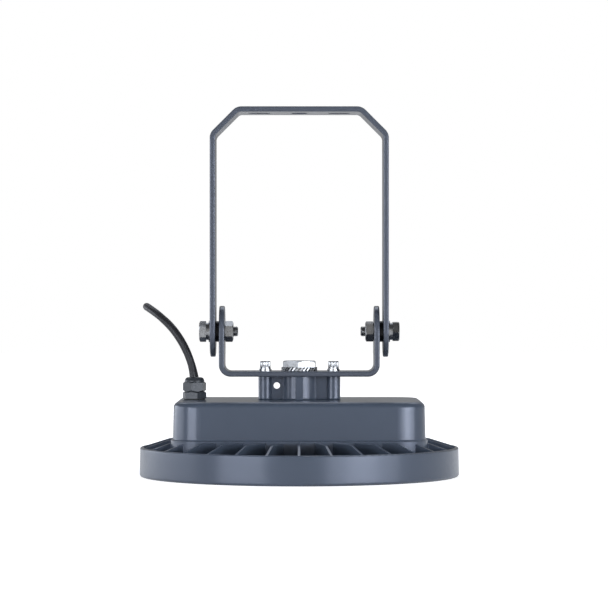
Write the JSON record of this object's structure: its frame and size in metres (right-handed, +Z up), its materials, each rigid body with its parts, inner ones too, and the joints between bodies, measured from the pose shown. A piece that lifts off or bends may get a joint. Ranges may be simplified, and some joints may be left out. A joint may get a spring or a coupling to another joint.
{
  "type": "high bay light",
  "caption": "Round finned die-cast high bay light with a box-shaped driver housing, cable lead, and a tilting U-shaped yoke with slots for ceiling fixing.",
  "frame": {"origin": "centre of the ring's bottom edge, on the surface the lamp stands on, lens down", "axes": "+Z up, from the lens towards the yoke's top, along the lamp's own axis; +X along the tilt axis, with the cable gland on the -X side; -Y is the side that faces the viewer"},
  "size_m": [0.3, 0.3411, 0.3455],
  "materials": {
    "casting_coat": "satin blue-grey powder coat on die-cast aluminium",
    "ring_coat": "satin blue-grey powder coat on sheet aluminium",
    "steel_coat": "satin blue-grey powder coat on steel strip",
    "bare_aluminium": "plain rolled sheet",
    "board_mask": "aluminium-core board with white solder mask",
    "led_phosphor": "yellow phosphor in silicone",
    "clear_cover": "clear polycarbonate",
    "grey_rubber": "grey silicone strip",
    "black_rubber": "black rubber",
    "zinc_steel": "bright zinc plate",
    "pivot_steel": "dull dark zinc plate",
    "driver_case": "anodised case filled with potting compound",
    "terminal_plastic": "natural polyamide",
    "core_brown": "brown insulation",
    "core_blue": "blue insulation",
    "core_green_yellow": "green and yellow insulation",
    "lead_red": "red insulation",
    "tinned_copper": "tin plate",
    "gland_nylon": "dark grey polyamide",
    "cord_sheath": "black rubber sheath",
    "spacer_plastic": "black polyamide"
  },
  "bodies": {
    "lamp": {"housing": "casting_coat", "led_plate": "bare_aluminium", "led_board": "board_mask", "led_chips": "led_phosphor", "lens_cover": "clear_cover", "lens_gasket": "grey_rubber", "front_ring": "ring_coat", "front_ring_screws": "zinc_steel", "led_plate_screws": "zinc_steel", "led_board_screws": "zinc_steel", "driver": "driver_case", "driver_screws": "zinc_steel", "terminal_block": "terminal_plastic", "terminal_screw": "zinc_steel", "lead_grommet": "black_rubber", "inner_cores": "core_brown", "driver_input_leads": "core_brown", "led_leads": "lead_red", "gland_gasket": "black_rubber", "gland_body": "gland_nylon", "gland_seal": "black_rubber", "gland_nut": "gland_nylon", "gland_locknut": "gland_nylon", "supply_cord": "cord_sheath", "core_live": "core_brown", "core_neutral": "core_blue", "core_earth": "core_green_yellow", "core_ferrules": "tinned_copper", "lamp_bracket": "steel_coat", "hub_plug": "zinc_steel", "hub_lock_washer": "zinc_steel", "bracket_flat_washers": "zinc_steel", "bracket_spring_washers": "zinc_steel", "bracket_screws": "zinc_steel", "left_pivot_spacer": "spacer_plastic", "left_pivot_washer": "pivot_steel", "left_pivot_spring_washer": "pivot_steel", "left_pivot_bolt": "pivot_steel", "left_pivot_nut": "pivot_steel", "right_pivot_spacer": "spacer_plastic", "right_pivot_washer": "pivot_steel", "right_pivot_spring_washer": "pivot_steel", "right_pivot_bolt": "pivot_steel", "right_pivot_nut": "pivot_steel"},
    "yoke": {"yoke": "steel_coat"}
  },
  "joints": [
    {"name": "yoke_tilt", "type": "hinge", "parent": "lamp", "child": "yoke", "pos_m": [0, 0, 0.1355], "axis": [1, 0, 0], "range_deg": [-90, 90]}
  ]
}
